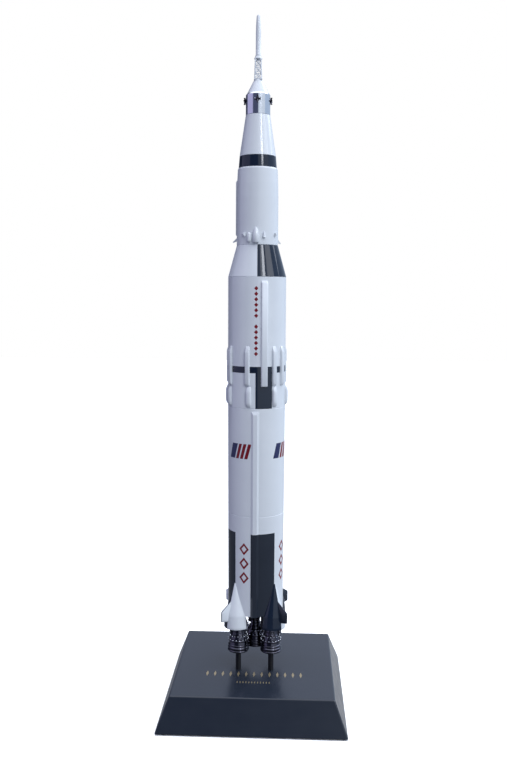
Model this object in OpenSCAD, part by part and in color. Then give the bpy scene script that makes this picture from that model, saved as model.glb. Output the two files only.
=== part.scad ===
// Desk display model of a three-stage launch rocket, standing on two rods over a tapered plinth.
// Millimetres. The origin is the middle of the plinth's underside, +Z is up and the front faces -Y.
// Angles round the rocket start at the front and grow towards +X.
// Each stage lifts off the one below it, and the whole rocket lifts off the two rods.

/* [Stand] */
// Width of the plinth at its foot
plinth_w = 159; // [150:1:170]
// Width of the plinth at its top
plinth_top_w = 138; // [130:1:146]
// Height of the plinth, felt included
plinth_h = 29.2; // [26:0.2:32]
// Thickness of the felt under the plinth
felt_h = 1; // [0.6:0.2:2]
// Diameter of the two support rods
rod_d = 4.8; // [4:0.1:5]

/* [Booster] */
// Height of the engine exits above the table
exit_z = 47.2; // [46:0.2:50]
// Height of the booster's tail edge above the table
tail_z = 80.8; // [80:0.2:82]
// Radius of the booster at its tail edge
tail_r = 24.5; // [24.4:0.05:24.8]
// Length of the booster's body
booster_len = 183.5; // [175:0.5:195]
// Radius of the circle that the outer engines stand on
engine_circle_r = 20.4; // [20:0.1:20.6]
// Outer radius of an engine's exit
bell_r = 8.9; // [8.4:0.1:9]
// Reach of the fins from the rocket's axis
fin_reach = 40.6; // [36:0.2:42]

/* [Upper stages] */
// Radius of the second stage
body_r = 25.15; // [25:0.05:25.4]
// Length of the second stage
second_len = 112.1; // [108:0.5:116]
// Length of the cone between the second and third stages
cone_len = 27; // [24:0.5:30]
// Radius of the third stage
third_r = 17.87; // [17.6:0.05:18.2]
// Length of the third stage
third_len = 65.1; // [62:0.5:68]
// Length of the black instrument ring
ring_len = 9.8; // [9:0.2:11]

/* [Payload] */
// Length of the long white adapter cone
adapter_len = 34.4; // [32:0.2:36]
// Radius of the silver service module
service_r = 10.45; // [10.3:0.05:10.8]
// Length of the service module
service_len = 17.9; // [17:0.1:19]
// Length of the capsule's cover
cover_len = 11.4; // [11:0.1:12]
// Length of the lattice tower
tower_len = 16.6; // [16:0.1:18]
// Length of the escape motor
motor_len = 36.4; // [34:0.2:38]

/* [Hidden] */

$fn = 96;
edge_fn = 20;       // facets of the plinth's rounded corners
shell_fn = 48;      // facets of the fairings' round shells
cut = 1;            // how far a cutting shape runs past what it cuts
fit_gap = 0.05;     // radial clearance of every spigot and rod socket
seam_edge = 0.3;    // bevel that leaves a fine line at each seam
white = "#e6e9ee";
black = "#181a1f";
gunmetal = "#33343a";
silver = "#b9bcc4";

plinth_edge = 1.4;
felt_inset = 3;
rod_seat = 20;
rod_r = rod_d / 2;

seam_z = tail_z + 89.2;
booster_top = tail_z + booster_len;
second_top = booster_top + second_len;
cone_top = second_top + cone_len;
third_top = cone_top + third_len;
ring_top = third_top + ring_len;
adapter_top = ring_top + adapter_len;
service_top = adapter_top + service_len;
cover_top = service_top + cover_len;
tower_plate_h = 0.8;
tower_top = cover_top + tower_plate_h + tower_len;

tube_bore_r = 23.4;
spigot_h = 10;
spigot_wall = 2;
deck_h = 3;
plate_h = 6;
socket_top = tail_z + 27.2;
socket_wall = 2.4;
socket_boss_r = engine_circle_r - 2;   // how far out the sockets' bosses stand

bell_wall = 0.7;
bell_bore_r = 2.8;
engine_len = tail_z - exit_z;
flange_z = 32;         // mid-height of the engine's flange above its exit
flange_r = 6.4;
flange_h = 2;

third_bore_r = 15.4;
third_neck_r = 17.1;
ring_foot_r = 16.4;
ring_top_r = 15.6;
adapter_bore_r = 12.3;
adapter_top_r = 10.5;
service_bore_r = 8.5;
pin_r = 1.5;
pin_len = 8;

corner_angle = 45;
fairing_foot_z = tail_z - 11.2;
fairing_tip_z = tail_z + 28.2;
fairing_wall = 1.2;
fairing_r = 10.4;        // radius of the round shell round each outer engine, at the tail edge
fairing_foot_r = 11.5;   // its radius at the foot
fairing_at = 22.2;       // how far out that shell's own axis stands
fin_t = 1.7;

function skin_r(z) = tail_r + (body_r - tail_r) * (z - tail_z) / booster_len;

// Places a shape at an angle round the rocket, at radius r, with -Y pointing outwards
module around(angle, r = 0) {
    rotate([0, 0, angle]) translate([0, -r, 0]) children();
}

// Turned solid from radius and height points
module turned(points) {
    rotate_extrude() polygon(points);
}

// Tube with a straight bore, a tapering skin and a fine bevel at both outer edges
module tube(z0, z1, r0, r1, bore) {
    turned([
        [bore, z0], [r0 - seam_edge, z0], [r0, z0 + seam_edge],
        [r1, z1 - seam_edge], [r1 - seam_edge, z1], [bore, z1]
    ]);
}

// Rod between two heights
module post(r, z0, z1) {
    translate([0, 0, z0]) cylinder(h = z1 - z0, r = r);
}

// Raised strip with rounded outer corners; its back runs into the skin and is cut away there
module strip(w, h, corner, z0, z1) {
    back = 3;
    translate([0, 0, z0]) linear_extrude(z1 - z0) {
        translate([-w / 2 + corner, -h]) square([w - 2 * corner, h + back]);
        translate([-w / 2, corner - h]) square([w, h + back - corner]);
        for (side = [-1, 1]) translate([side * (w / 2 - corner), corner - h]) circle(corner);
    }
}

// Strip with both ends bevelled, as a moulded fairing has
module bevelled_strip(w, h, corner, z0, z1, foot_bevel, head_bevel) {
    difference() {
        strip(w, h, corner, z0, z1);
        bevel_cut(w, h, z0, -foot_bevel);
        bevel_cut(w, h, z1, head_bevel);
    }
}

// Wedge that slopes a strip's end down to the skin over the given length
module bevel_cut(w, h, z, run) {
    low = 0.4;
    rotate([0, -90, 0]) linear_extrude(w + 2 * cut, center = true)
        polygon([[z, -low], [z - run, -h], [z - run, -h - cut], [z + sign(run), -h - cut], [z + sign(run), -low]]);
}

// ---- stand ----

module base_block() {
    color(black) difference() {
        hull() for (sx = [-1, 1], sy = [-1, 1]) {
            foot = plinth_w / 2 - plinth_edge;
            head = plinth_top_w / 2 - plinth_edge;
            translate([sx * foot, sy * foot, felt_h + plinth_edge]) sphere(plinth_edge, $fn = edge_fn);
            translate([sx * head, sy * head, plinth_h - plinth_edge]) sphere(plinth_edge, $fn = edge_fn);
        }
        for (side = [-1, 1]) around(side * corner_angle, engine_circle_r)
            post(rod_r, plinth_h - rod_seat, plinth_h + cut);
    }
}

module base_felt() {
    color("#15171a") linear_extrude(felt_h) square(plinth_w - 2 * felt_inset, center = true);
}

module stand_rod(side) {
    tip = 0.6;
    color(black) around(side * corner_angle, engine_circle_r) turned([
        [0, plinth_h - rod_seat], [rod_r, plinth_h - rod_seat],
        [rod_r, socket_top - tip], [rod_r - tip, socket_top], [0, socket_top]
    ]);
}

// ---- booster ----

module tail_tube() {
    color(white) tube(tail_z, seam_z, tail_r, skin_r(seam_z), tube_bore_r);
}

module forward_tube() {
    color(white) tube(seam_z, booster_top, skin_r(seam_z), body_r, tube_bore_r);
}

module tube_coupler() {
    half = 8;
    r = tube_bore_r - fit_gap;
    color(white) turned([
        [r - spigot_wall, seam_z - half], [r, seam_z - half], [r, seam_z + half], [r - spigot_wall, seam_z + half]
    ]);
}

// Plate that carries the engines and the two blind sockets for the rods
module tail_plate() {
    color(black) difference() {
        union() {
            post(tube_bore_r - fit_gap, tail_z, tail_z + plate_h);
            for (side = [-1, 1]) around(side * corner_angle, socket_boss_r)
                post(rod_r + socket_wall, tail_z, socket_top + deck_h);
        }
        for (side = [-1, 1]) around(side * corner_angle, engine_circle_r)
            post(rod_r + fit_gap, tail_z - cut, socket_top);
    }
}

// Deck that closes the booster and carries the spigot for the second stage
module booster_collar() {
    r = tube_bore_r - fit_gap;
    inner = r - spigot_wall;
    color(white) turned([
        [0, booster_top - deck_h], [inner, booster_top - deck_h], [inner, booster_top - spigot_h],
        [r, booster_top - spigot_h], [r, booster_top + spigot_h], [inner, booster_top + spigot_h],
        [inner, booster_top], [0, booster_top]
    ]);
}

// The booster's skin as a solid, used to cut what sits on it
module booster_skin(z0, z1) {
    translate([0, 0, z0]) cylinder(h = z1 - z0, r1 = skin_r(z0), r2 = skin_r(z1));
}

// Straight ridge with sloping sides, which carries cables down the whole booster
module booster_tunnel() {
    length = booster_len - 2.6;
    foot_w = 7;
    face_w = 3.4;
    rise = 1.6;
    back = 3;
    head_slope = 2.5;
    lean = atan((body_r - tail_r) / booster_len);
    color(white) difference() {
        around(0, tail_r) translate([0, 0, tail_z]) rotate([lean, 0, 0]) difference() {
            linear_extrude(length) polygon([
                [-foot_w / 2, back], [-foot_w / 2, 0.2], [-face_w / 2, -rise],
                [face_w / 2, -rise], [foot_w / 2, 0.2], [foot_w / 2, back]
            ]);
            bevel_cut(foot_w, rise, length, head_slope);
        }
        booster_skin(tail_z - cut, booster_top);
    }
}

// Outer form of an engine fairing: a round shell below the tail that tapers to a tip on the skin
module fairing_form(inset, foot_z, tip_z) {
    tip_r = 0.9;
    lip = 0.6;
    hull() {
        translate([0, -fairing_at, foot_z]) cylinder(
            h = tail_z + lip - foot_z, r1 = fairing_foot_r - inset, r2 = fairing_r - inset, $fn = shell_fn
        );
        translate([0, 0.4 - skin_r(tip_z), tip_z - lip]) cylinder(h = lip, r = tip_r - inset / 2, $fn = shell_fn);
    }
}

module engine_fairing(angle, shade) {
    open_r = 21.2;   // where the fairing opens towards the rocket's axis below the tail
    color(shade) around(angle) difference() {
        fairing_form(0, fairing_foot_z, fairing_tip_z);
        fairing_form(fairing_wall, fairing_foot_z - cut, fairing_tip_z - 6);
        translate([-tail_r, -open_r, fairing_foot_z - cut])
            cube([2 * tail_r, open_r, tail_z - fairing_foot_z + cut]);
        skin_cutter();
    }
}

// Many-sided cone that just clears the booster's skin
module skin_cutter() {
    gap = 0.02;
    head_z = fairing_tip_z + 5;
    hull() translate([0, 0, tail_z]) cylinder(
        h = head_z - tail_z, r1 = (tail_r + gap) / cos(180 / shell_fn),
        r2 = (skin_r(head_z) + gap) / cos(180 / shell_fn), $fn = shell_fn
    );
}

// Swept fin, thickest along its middle and thin at its edges
module fin(angle, shade) {
    edge_t = 0.5;
    bevel = 1.6;
    root_top = fairing_tip_z - 13;
    tip_top = fairing_tip_z - 22.6;
    tip_foot = fairing_tip_z - 31.8;
    root_foot = fairing_tip_z - 34.4;
    color(shade) around(angle) difference() {
        hull() {
            fin_slab(edge_t, [[24, root_top + 1.4], [fin_reach, tip_top], [fin_reach, tip_foot], [28, root_foot]]);
            fin_slab(fin_t, [
                [24, root_top - bevel], [fin_reach - bevel, tip_top - 0.6 * bevel],
                [fin_reach - bevel, tip_foot + bevel], [28, root_foot + bevel]
            ]);
        }
        fairing_form(0, fairing_foot_z, fairing_tip_z);
    }
}

module fin_slab(t, outline) {
    rotate([90, 0, -90]) linear_extrude(t, center = true) polygon(outline);
}

// Radius of an engine's outside at a height above its exit
function bell_skin(z) = lookup(z, [
    [0, bell_r], [3, bell_r - 0.1], [6, bell_r - 0.4], [9, bell_r - 0.8], [12, bell_r - 1.5],
    [15.5, 5.6], [19, 4.4], [22, 3.9], [25, 4.6], [31, 5]
]);

// Radius and height points of one stiffening band round the bell
function band(z) = [
    [bell_skin(z - 0.7), z - 0.7], [bell_skin(z) + 0.4, z - 0.35],
    [bell_skin(z) + 0.4, z + 0.35], [bell_skin(z + 0.7), z + 0.7]
];

module engine(angle, r) {
    bands = [1.2, 4, 6.8];
    top_r = 5;
    color(gunmetal) around(angle, r) translate([0, 0, exit_z]) turned(concat(
        [[bell_r - bell_wall, 0], [bell_r, 0]],
        [for (z = bands) for (p = band(z)) p],
        [for (z = [9, 12, 15.5, 19, 22, 25]) [bell_skin(z), z]],
        [[top_r, flange_z - flange_h / 2], [flange_r, flange_z - flange_h / 2], [flange_r, flange_z + flange_h / 2]],
        [[top_r, flange_z + flange_h / 2], [top_r, engine_len], [bell_bore_r, engine_len], [bell_bore_r, 21]],
        [for (z = [18, 15.5, 12, 9, 6, 3]) [bell_skin(z) - bell_wall, z]]
    ));
}

// Exhaust manifold round the bell, with its down pipe on one side
module manifold(angle, r, side) {
    ring_z = 10;
    ring_r = 7.6;
    pipe_r = 1.25;
    pipe_angle = 60;
    pipe_at = 6.9;   // distance of the pipe from the engine's axis
    pipe_h = flange_z - flange_h / 2 - ring_z;
    color(gunmetal) around(angle, r) translate([0, 0, exit_z]) difference() {
        union() {
            translate([0, 0, ring_z]) rotate_extrude() translate([ring_r, 0]) circle(pipe_r);
            around(side * pipe_angle, pipe_at) translate([0, 0, ring_z]) cylinder(h = pipe_h, r = pipe_r);
        }
        turned(concat(
            [[0, ring_z - 3], [bell_skin(ring_z - 3), ring_z - 3]],
            [for (z = [9, 12, 15.5, 19, 22, 25]) [bell_skin(z), z]],
            [[bell_skin(31), 31], [0, 31]]
        ));
    }
}

// ---- second stage ----

module stage_two_tube() {
    color(white) tube(booster_top, second_top, body_r, body_r, tube_bore_r);
}

// Straight cylinder of the second stage's skin, used to cut what sits on it
module second_skin() {
    post(body_r, booster_top - cut, second_top + cut);
}

module stage_two_tunnel() {
    color(white) difference() {
        around(16.9, body_r)
            bevelled_strip(5.6, 2.2, 0.9, booster_top + 19.2, second_top - 3.3, 0.4, 2.2);
        second_skin();
    }
}

module feedline_fairings() {
    angles = [-105, -58.6, -15.8, 37.9, 59.1, 110, 158, 206];
    color(white) difference() {
        for (angle = angles) around(angle, body_r)
            bevelled_strip(4, 2.3, 1, booster_top + 19.3, booster_top + 53.4, 1.5, 5);
        second_skin();
    }
}

module ullage_fairings() {
    angles = [-97, -61.4, -13, 39.7, 87, 131, 176, 221];
    color(white) difference() {
        for (angle = angles) around(angle, body_r)
            bevelled_strip(4.7, 2.4, 1.1, booster_top + 1.3, booster_top + 19, 4, 4.5);
        second_skin();
    }
}

// Hollow cone with a skirt that seats in the second stage and a spigot for the third
module interstage_cone() {
    wall = 1.8;
    inner_drop = 2;   // keeps the wall's thickness where the cone meets the spigot
    skirt_r = tube_bore_r - fit_gap;
    top_r = third_bore_r - fit_gap;
    color(white) turned([
        [skirt_r - wall, second_top - spigot_h], [skirt_r, second_top - spigot_h], [skirt_r, second_top],
        [body_r - seam_edge, second_top], [body_r, second_top + seam_edge],
        [third_r, cone_top - seam_edge], [third_r - seam_edge, cone_top],
        [top_r, cone_top], [top_r, cone_top + spigot_h], [top_r - wall, cone_top + spigot_h],
        [top_r - wall, cone_top - inner_drop], [skirt_r - wall, second_top]
    ]);
}

// ---- third stage ----

module stage_three_tube() {
    taper_z = cone_top + 40;   // the body narrows a little above this height
    color(white) turned([
        [third_bore_r, cone_top], [third_r - seam_edge, cone_top], [third_r, cone_top + seam_edge],
        [third_r, taper_z], [third_r - 0.25, taper_z + 12], [third_neck_r, third_top - 1.2],
        [third_neck_r - 0.5, third_top], [third_bore_r, third_top]
    ]);
}

// Third stage's skin, used to cut what sits near its foot
module third_skin() {
    post(third_r, cone_top - cut, third_top);
}

module stage_three_tunnel() {
    color(white) difference() {
        around(-87.6, third_r) bevelled_strip(3.2, 1.2, 0.5, cone_top + 8.3, cone_top + 55, 1, 2);
        third_skin();
    }
}

// Pointed pods at the front and the back of the third stage's foot
module attitude_pods() {
    pod_r = 2.8;
    stand_off = 0.5;
    color(white) difference() {
        for (angle = [-1.5, 178.5]) around(angle, third_r + stand_off) translate([0, 0, cone_top + 1.5]) rotate(90) turned([
            [0, 0], [pod_r - 0.4, 0], [pod_r, 0.5], [pod_r, 5.5], [2.5, 8], [1.7, 10.8], [0.5, 13], [0, 13.2]
        ]);
        third_skin();
    }
}

// Small round-ended pods beside the pointed ones
module settling_pods() {
    pod_r = 1.7;
    stand_off = 0.6;
    ends = [cone_top + 3.5, cone_top + 8.5];
    color(white) difference() {
        for (angle = [-20.2, 159.8]) around(angle, third_r + stand_off) {
            post(pod_r, ends[0], ends[1]);
            for (z = ends) translate([0, 0, z]) sphere(pod_r);
        }
        third_skin();
    }
}

// Small thruster cones: one upright and two lying across the skin, on both sides
module aft_nozzles() {
    z = cone_top + 8.6;
    axis_r = third_r + 0.9;   // how far out the cones' axes stand
    color(silver) difference() {
        for (half = [0, 180]) {
            around(half + 20, axis_r) translate([0, 0, z - 2.6]) cylinder(h = 5.2, r1 = 1.4, r2 = 0.3);
            around(half - 37, axis_r) translate([1.6, 0, z]) rotate([0, -90, 0])
                cylinder(h = 3.8, r1 = 1.8, r2 = 0.4);
            around(half + 59, axis_r) translate([-1.6, 0, z]) rotate([0, 90, 0])
                cylinder(h = 3.2, r1 = 1.5, r2 = 0.4);
        }
        third_skin();
    }
}

// Small canted flaps at the sides of the third stage's foot
module aft_flaps() {
    flap_w = 2.4;
    color(white) difference() {
        for (flap = [[-87.6, 21.3, 2.4], [92.4, 20.2, 1.4]]) around(flap[0])
            rotate([90, 0, -90]) linear_extrude(flap_w, center = true) polygon([
                [third_r - 1, cone_top + flap[2] + 4], [third_r, cone_top + flap[2] + 3.8],
                [flap[1], cone_top + flap[2] + 0.5], [flap[1] - 0.3, cone_top + flap[2] - 0.2],
                [third_r - 1, cone_top + flap[2] + 1.6]
            ]);
        third_skin();
    }
}

// Black ring with a skirt into the third stage and a spigot for the payload
module instrument_ring() {
    skirt_r = third_bore_r - fit_gap;
    top_r = adapter_bore_r - fit_gap;
    inner = top_r - spigot_wall;
    color(black) turned([
        [inner, third_top - spigot_h], [skirt_r, third_top - spigot_h], [skirt_r, third_top],
        [ring_foot_r, third_top], [ring_top_r, ring_top], [top_r, ring_top],
        [top_r, ring_top + spigot_h], [inner, ring_top + spigot_h]
    ]);
}

// ---- payload ----

module lander_adapter() {
    socket_h = spigot_h + 0.7;
    color(white) turned([
        [adapter_bore_r, ring_top], [ring_top_r - 0.2, ring_top], [ring_top_r, ring_top + 0.3],
        [adapter_top_r, adapter_top - 0.2], [adapter_top_r - 0.2, adapter_top], [service_bore_r, adapter_top],
        [service_bore_r, ring_top + socket_h], [adapter_bore_r, ring_top + socket_h]
    ]);
}

module service_module() {
    spigot_r = service_bore_r - fit_gap;
    skirt_h = 8;
    chamfer_r = 9.6;
    chamfer_h = 1.2;
    color(silver) turned([
        [spigot_r - spigot_wall, adapter_top - skirt_h], [spigot_r, adapter_top - skirt_h], [spigot_r, adapter_top],
        [service_r - 0.2, adapter_top], [service_r, adapter_top + 0.3], [service_r, service_top - chamfer_h],
        [chamfer_r, service_top], [service_bore_r, service_top], [service_bore_r, adapter_top + deck_h],
        [spigot_r - spigot_wall, adapter_top + deck_h]
    ]);
}

// Cluster of four small nozzles on a base plate
module thruster_quad(angle) {
    quad_z = service_top - 6.4;
    plate = [2.4, 0.9, 3.6];
    nozzle_at = 0.95;   // how far off the skin the nozzles' axes stand
    color(gunmetal) around(angle, service_r) translate([0, 0, quad_z]) difference() {
        union() {
            translate([-plate[0] / 2, -plate[1], -plate[2] / 2]) cube([plate[0], plate[1] + cut, plate[2]]);
            for (turn = [0, 90, 180, 270]) translate([0, -nozzle_at, 0]) rotate([0, turn, 0])
                translate([0, 0, 0.5]) cylinder(h = 2.3, r1 = 0.35, r2 = 0.9);
        }
        translate([0, service_r, 0]) post(service_r, -10, 10);
    }
}

module capsule_cover() {
    plug_r = service_bore_r - fit_gap;
    neck_z = cover_top - 1.4;
    color(white) turned([
        [0, service_top - 6], [plug_r, service_top - 6], [plug_r, service_top], [9.55, service_top],
        [4.4, neck_z - 0.2], [4.1, neck_z], [4.1, neck_z + 0.2], [3.6, cover_top],
        [pin_r + fit_gap, cover_top], [pin_r + fit_gap, cover_top - pin_len - 0.5], [0, cover_top - pin_len - 0.5]
    ]);
}

// ---- escape tower ----

module tower_base() {
    half = 3.5;
    color(white) {
        translate([-half, -half, cover_top]) cube([2 * half, 2 * half, tower_plate_h]);
        post(pin_r, cover_top - pin_len, cover_top + tower_plate_h / 2);
    }
}

function tower_half(z) = 3.4 - 0.6 * z / tower_len;

// Square tapering block, inset from the tower's faces
module tower_block(inset, z0, z1) {
    skin = 0.01;
    hull() for (end = [[z0, 0], [z1, -skin]]) {
        w = 2 * (tower_half(end[0]) - inset);
        translate([-w / 2, -w / 2, end[0] + end[1]]) cube([w, w, skin]);
    }
}

// The four openings that crossed braces leave in one bay of a side
module bay_openings(z0, z1) {
    leg = 0.85;
    bar = 0.28;
    mid_z = (z0 + z1) / 2;
    foot = tower_half(z0) - leg;
    head = tower_half(z1) - leg;
    polygon([[-foot + bar, z0 + bar], [foot - bar, z0 + bar], [0, mid_z - 1.4 * bar]]);
    polygon([[-head + bar, z1 - bar], [head - bar, z1 - bar], [0, mid_z + 1.4 * bar]]);
    for (side = [-1, 1])
        polygon([[side * foot, z0 + 2.2 * bar], [side * head, z1 - 2.2 * bar], [side * 1.4 * bar, mid_z]]);
}

module tower_frame() {
    bays = 3;
    bay_h = tower_len / bays;
    wall = 0.75;
    color(white) translate([0, 0, cover_top + tower_plate_h]) difference() {
        tower_block(0, 0, tower_len);
        tower_block(wall, -cut, tower_len + cut);
        for (turn = [0, 90]) rotate([90, 0, turn]) linear_extrude(12, center = true)
            for (bay = [0 : bays - 1]) bay_openings(bay * bay_h, (bay + 1) * bay_h);
    }
}

// Ring that carries the motor on the tower's head
module motor_skirt() {
    color(white) turned([
        [1, tower_top], [3.5, tower_top], [3.2, tower_top + 1], [2.6, tower_top + 2],
        [2.6, tower_top + 2.6], [1, tower_top + 2.6]
    ]);
}

module escape_motor() {
    foot_z = tower_top + 2.6;
    tip_z = tower_top + motor_len;
    motor_r = 2.15;
    tip_r = 1.1;
    color(white) turned([
        [0, foot_z], [motor_r, foot_z], [motor_r, tip_z - 10], [1.85, tip_z - 7],
        [1.35, tip_z - 3.4], [tip_r, tip_z - 1], [0.8, tip_z - 0.3], [0.4, tip_z], [0, tip_z]
    ]);
}

base_block();
base_felt();
stand_rod(-1);  // stand_rod_left
stand_rod(1);  // stand_rod_right
tail_tube();
forward_tube();
tube_coupler();
tail_plate();
booster_collar();
booster_tunnel();
engine_fairing(-corner_angle, white);  // front_left_fairing
engine_fairing(corner_angle, black);  // front_right_fairing
engine_fairing(corner_angle - 180, white);  // rear_left_fairing
engine_fairing(180 - corner_angle, black);  // rear_right_fairing
fin(-corner_angle, white);  // front_left_fin
fin(corner_angle, black);  // front_right_fin
fin(corner_angle - 180, white);  // rear_left_fin
fin(180 - corner_angle, black);  // rear_right_fin
engine(0, 0);  // centre_engine
engine(-corner_angle, engine_circle_r);  // front_left_engine
engine(corner_angle, engine_circle_r);  // front_right_engine
engine(corner_angle - 180, engine_circle_r);  // rear_left_engine
engine(180 - corner_angle, engine_circle_r);  // rear_right_engine
manifold(0, 0, 1);  // centre_manifold
manifold(-corner_angle, engine_circle_r, -1);  // front_left_manifold
manifold(corner_angle, engine_circle_r, 1);  // front_right_manifold
manifold(corner_angle - 180, engine_circle_r, 1);  // rear_left_manifold
manifold(180 - corner_angle, engine_circle_r, -1);  // rear_right_manifold
stage_two_tube();
stage_two_tunnel();
feedline_fairings();
ullage_fairings();
interstage_cone();
stage_three_tube();
stage_three_tunnel();
attitude_pods();
settling_pods();
aft_nozzles();
aft_flaps();
instrument_ring();
lander_adapter();
service_module();
thruster_quad(0);  // front_thruster_quad
thruster_quad(90);  // right_thruster_quad
thruster_quad(180);  // rear_thruster_quad
thruster_quad(270);  // left_thruster_quad
capsule_cover();
tower_base();
tower_frame();
motor_skirt();
escape_motor();
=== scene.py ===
# Looks of the desk display rocket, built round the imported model.
# Metres, +Z up along the rocket, the front faces -Y.
# Angles round the rocket are in degrees, start at the front and grow towards +X.
import math

import bmesh
import bpy
from mathutils import Matrix, Vector


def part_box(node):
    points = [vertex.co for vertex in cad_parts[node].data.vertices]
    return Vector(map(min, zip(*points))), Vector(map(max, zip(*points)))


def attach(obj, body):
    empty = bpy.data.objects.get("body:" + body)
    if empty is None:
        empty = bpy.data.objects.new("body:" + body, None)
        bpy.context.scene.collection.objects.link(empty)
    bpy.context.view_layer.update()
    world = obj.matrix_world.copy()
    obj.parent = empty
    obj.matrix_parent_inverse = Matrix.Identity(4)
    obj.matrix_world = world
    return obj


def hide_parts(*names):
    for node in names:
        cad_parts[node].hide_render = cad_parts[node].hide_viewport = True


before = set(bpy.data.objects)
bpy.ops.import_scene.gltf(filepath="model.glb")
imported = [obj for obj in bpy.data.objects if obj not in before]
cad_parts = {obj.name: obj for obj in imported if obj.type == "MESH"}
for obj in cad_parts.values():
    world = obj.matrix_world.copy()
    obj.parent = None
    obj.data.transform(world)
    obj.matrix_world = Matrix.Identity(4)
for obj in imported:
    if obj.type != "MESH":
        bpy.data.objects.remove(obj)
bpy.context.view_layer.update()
mm = 0.001


# Levels and radii read from the frame, in millimetres
def bottomOf(node):
    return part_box(node)[0].z / mm


def topOf(node):
    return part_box(node)[1].z / mm


def reachAt(node, height, window=1.6):
    # widest reach of a node's skin near a height
    reach = 0
    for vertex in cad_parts[node].data.vertices:
        if abs(vertex.co.z / mm - height) < window:
            reach = max(reach, math.hypot(vertex.co.x, vertex.co.y) / mm)
    return reach


tailZ = bottomOf("tail_tube")
boosterTop = topOf("forward_tube")
secondTop = topOf("stage_two_tube")
coneTop = bottomOf("stage_three_tube")
coverTop = bottomOf("tower_frame")
towerTop = topOf("tower_frame")
tailR = reachAt("tail_tube", tailZ)
bodyR = reachAt("stage_two_tube", boosterTop)
thirdR = reachAt("stage_three_tube", coneTop)
serviceR = reachAt("service_module", bottomOf("service_module") + 8, 2)
exitZ = bottomOf("centre_engine")
engineTop = topOf("centre_engine")


def boosterSkin(z):
    return tailR + (bodyR - tailR) * (z - tailZ) / (boosterTop - tailZ)


def secondSkin(z):     # the same at every height
    return bodyR


squareCorners = [(-1, -1), (1, -1), (1, 1), (-1, 1)]


# A shape is a list of points in millimetres and a list of faces
def turned(profile, sides=72, ring=False):
    # solid of revolution from radius and height points; ring joins the last point to the first
    points, faces, rows = [], [], []
    for radius, height in profile:
        if radius == 0:
            rows.append([len(points)])
            points.append((0, 0, height))
            continue
        rows.append(list(range(len(points), len(points) + sides)))
        for k in range(sides):
            turn = 2 * math.pi * k / sides
            points.append((radius * math.cos(turn), radius * math.sin(turn), height))
    following = rows[1:] + ([rows[0]] if ring else [])
    for low, high in zip(rows, following):
        for k in range(sides):
            n = (k + 1) % sides
            if len(low) == 1:
                faces.append((low[0], high[n], high[k]))
            elif len(high) == 1:
                faces.append((low[k], low[n], high[0]))
            else:
                faces.append((low[k], low[n], high[n], high[k]))
    return points, faces


def lofted(sections):
    # closed loops joined one after the other and capped at both ends
    count = len(sections[0])
    points = [point for section in sections for point in section]
    faces = []
    for row in range(len(sections) - 1):
        for k in range(count):
            n = (k + 1) % count
            faces.append((row * count + k, row * count + n, (row + 1) * count + n, (row + 1) * count + k))
    last = (len(sections) - 1) * count
    faces.append(tuple(range(count)))
    faces.append(tuple(range(last, last + count)))
    return points, faces


def joined(shapes):
    points, faces = [], []
    for shapePoints, shapeFaces in shapes:
        start = len(points)
        points += shapePoints
        faces += [tuple(k + start for k in face) for face in shapeFaces]
    return points, faces


def moved(shape, matrix):
    return [tuple(matrix @ Vector(point)) for point in shape[0]], shape[1]


def barAlong(path, radius, sides=10):
    # round bar along a path; radius is one number or one for each point
    radii = radius if isinstance(radius, list) else [radius] * len(path)
    spots = [Vector(point) for point in path]
    sections, side = [], None
    for k, spot in enumerate(spots):
        along = (spots[min(k + 1, len(spots) - 1)] - spots[max(k - 1, 0)]).normalized()
        if side is None:
            side = along.orthogonal().normalized()
        side = (side - along * side.dot(along)).normalized()
        other = along.cross(side)
        section = []
        for n in range(sides):
            turn = 2 * math.pi * n / sides
            section.append(tuple(spot + (side * math.cos(turn) + other * math.sin(turn)) * radii[k]))
        sections.append(section)
    return lofted(sections)


def onRocket(angle, out, across, z):
    # point at an angle round the rocket, so far out and so far across
    turn = math.radians(angle)
    return (out * math.sin(turn) + across * math.cos(turn), across * math.sin(turn) - out * math.cos(turn), z)


def addPiece(name, shape, body, slotName, material, replaced=(), sharp=35, origin=(0, 0, 0)):
    mesh = bpy.data.meshes.new(name)
    mesh.from_pydata([tuple(value * mm for value in point) for point in shape[0]], [], shape[1])
    work = bmesh.new()
    work.from_mesh(mesh)
    bmesh.ops.recalc_face_normals(work, faces=work.faces)
    work.to_mesh(mesh)
    work.free()
    mesh.shade_smooth()
    mesh.set_sharp_from_angle(angle=math.radians(sharp))
    mesh.materials.append(material)
    piece = bpy.data.objects.new(name, mesh)
    bpy.context.scene.collection.objects.link(piece)
    piece.location = [value * mm for value in origin]
    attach(piece, body)
    if replaced:
        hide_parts(*replaced)
    return piece


def soften(piece, width, steps, angle=30):
    # rounds the hard edges by a width in millimetres
    bevel = piece.modifiers.new("roundedEdges", "BEVEL")
    bevel.width = width * mm
    bevel.segments = steps
    bevel.limit_method = "ANGLE"
    bevel.angle_limit = math.radians(angle)
    bevel.harden_normals = True


def linear(colour):
    # sRGB hex to linear RGBA
    values = []
    for k in (1, 3, 5):
        v = int(colour[k:k + 2], 16) / 255
        values.append(v / 12.92 if v <= 0.04045 else ((v + 0.055) / 1.055) ** 2.4)
    return (*values, 1)


def addNode(tree, kind, sockets=None, **settings):
    # one node with its settings; a socket's value is a link when it is another node's output
    node = tree.nodes.new(kind)
    for name, value in settings.items():
        setattr(node, name, value)
    for name, value in (sockets or {}).items():
        if isinstance(value, bpy.types.NodeSocket):
            tree.links.new(value, node.inputs[name])
        else:
            node.inputs[name].default_value = value
    return node


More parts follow.
